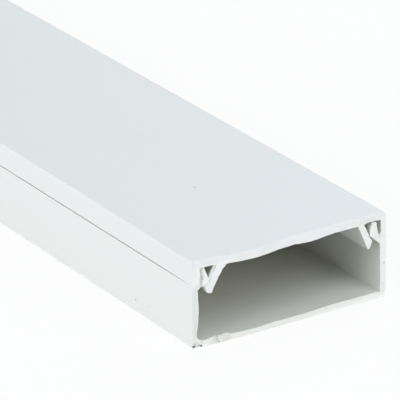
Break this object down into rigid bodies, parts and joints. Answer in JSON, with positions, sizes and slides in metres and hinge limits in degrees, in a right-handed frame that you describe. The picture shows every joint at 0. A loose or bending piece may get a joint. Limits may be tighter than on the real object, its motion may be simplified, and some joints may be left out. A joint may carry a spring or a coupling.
{
  "type": "mini trunking",
  "caption": "Rectangular cable trunking: a plain-walled channel with inturned snap lips, closed by a flat clip-on lid that also slides along it.",
  "frame": {"origin": "middle of the back face, the flat underside of the base that lies against the wall or floor", "axes": "+X across the trunking, +Y along its length, +Z out from the back face towards the lid"},
  "size_m": [0.04, 2, 0.016],
  "materials": {
    "white_pvc": "satin"
  },
  "bodies": {
    "base": {"trunking_base": "white_pvc"},
    "lid": {"snap_lid": "white_pvc"}
  },
  "joints": [
    {"name": "lid_slide", "type": "slide", "parent": "base", "child": "lid", "axis": [0, 1, 0], "range_m": [-1.9, 1.9]}
  ]
}
